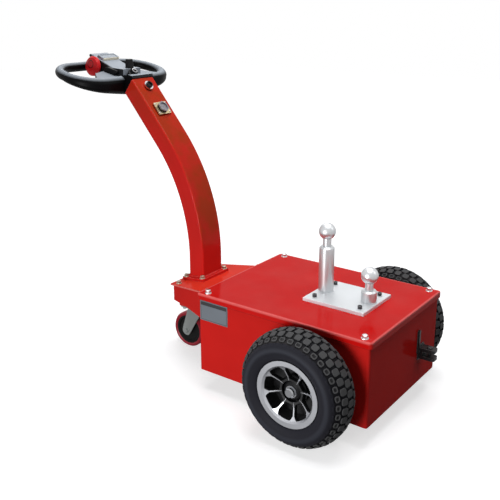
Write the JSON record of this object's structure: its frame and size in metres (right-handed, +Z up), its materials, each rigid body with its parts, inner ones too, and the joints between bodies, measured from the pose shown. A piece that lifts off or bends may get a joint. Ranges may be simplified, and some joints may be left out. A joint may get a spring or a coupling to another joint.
{
  "type": "walk-behind electric tow tug",
  "caption": "Small pedestrian-operated tug: boxed steel chassis on drive wheels and a swivel caster, curved tiller mast with bow handle, and tow balls on a deck plate.",
  "frame": {"origin": "on the ground, below the middle of the bounding box", "axes": "+X from the hitch end to the tiller and its operator, +Y to the machine's left, +Z up"},
  "size_m": [1.2796, 0.7, 0.9833],
  "materials": {
    "red_paint": "gloss powder coat",
    "tyre_rubber": "matt black rubber",
    "rim_silver": "silver paint, satin",
    "hub_black": "satin black",
    "bright_steel": "bright zinc plate",
    "hitch_aluminium": "turned and milled, bare",
    "handle_plastic": "moulded, fine satin grain",
    "black_plastic": "moulded, satin",
    "button_red": "gloss moulding",
    "display_chrome": "bright bezel",
    "socket_brass": "passivated plate",
    "jaw_black": "black paint on steel",
    "caster_polyurethane": "cast polyurethane, satin",
    "battery_case": "stands for sealed lead batteries",
    "drive_iron": "cast gearbox and motor"
  },
  "bodies": {
    "chassis": {"chassis_box": "red_paint", "deck_cover": "red_paint", "nose_frame": "red_paint", "nose_plate": "red_paint", "mast_flange": "red_paint", "mast_tube": "red_paint", "bow_handle": "handle_plastic", "head_neck": "black_plastic", "control_module": "handle_plastic", "stop_button": "button_red", "status_display": "display_chrome", "throttle_left": "black_plastic", "throttle_right": "black_plastic", "speed_knob": "black_plastic", "horn_lever": "black_plastic", "key_switch": "black_plastic", "socket_plate": "socket_brass", "charge_socket": "black_plastic", "hitch_plate": "hitch_aluminium", "tow_post_tall": "hitch_aluminium", "tow_post_short": "hitch_aluminium", "tow_jaw": "jaw_black", "jaw_pin": "jaw_black", "battery_pack": "battery_case", "drive_unit": "drive_iron", "bearing_left": "bright_steel", "bearing_right": "bright_steel", "caster_bracket": "red_paint", "caster_plate": "bright_steel"},
    "wheel_left": {"wheel_hub_left": "hub_black", "rim_left": "rim_silver", "tyre_left": "tyre_rubber", "hub_cap_left": "bright_steel"},
    "wheel_right": {"wheel_hub_right": "hub_black", "rim_right": "rim_silver", "tyre_right": "tyre_rubber", "hub_cap_right": "bright_steel"},
    "caster_swivel": {"caster_fork": "bright_steel", "caster_bolt": "bright_steel"},
    "caster_wheel": {"caster_hub": "black_plastic", "caster_tread": "caster_polyurethane"}
  },
  "joints": [
    {"name": "wheel_left_spin", "type": "hinge", "parent": "chassis", "child": "wheel_left", "pos_m": [-0.4145, 0.29, 0.1667], "axis": [0, 1, 0], "continuous": true},
    {"name": "wheel_right_spin", "type": "hinge", "parent": "chassis", "child": "wheel_right", "pos_m": [-0.4145, -0.29, 0.1667], "axis": [0, 1, 0], "continuous": true},
    {"name": "caster_swivel_turn", "type": "hinge", "parent": "chassis", "child": "caster_swivel", "pos_m": [0.1755, 0, 0.152], "axis": [0, 0, 1], "continuous": true},
    {"name": "caster_wheel_spin", "type": "hinge", "parent": "caster_swivel", "child": "caster_wheel", "pos_m": [0.2115, 0, 0.0625], "axis": [0, 1, 0], "continuous": true}
  ]
}
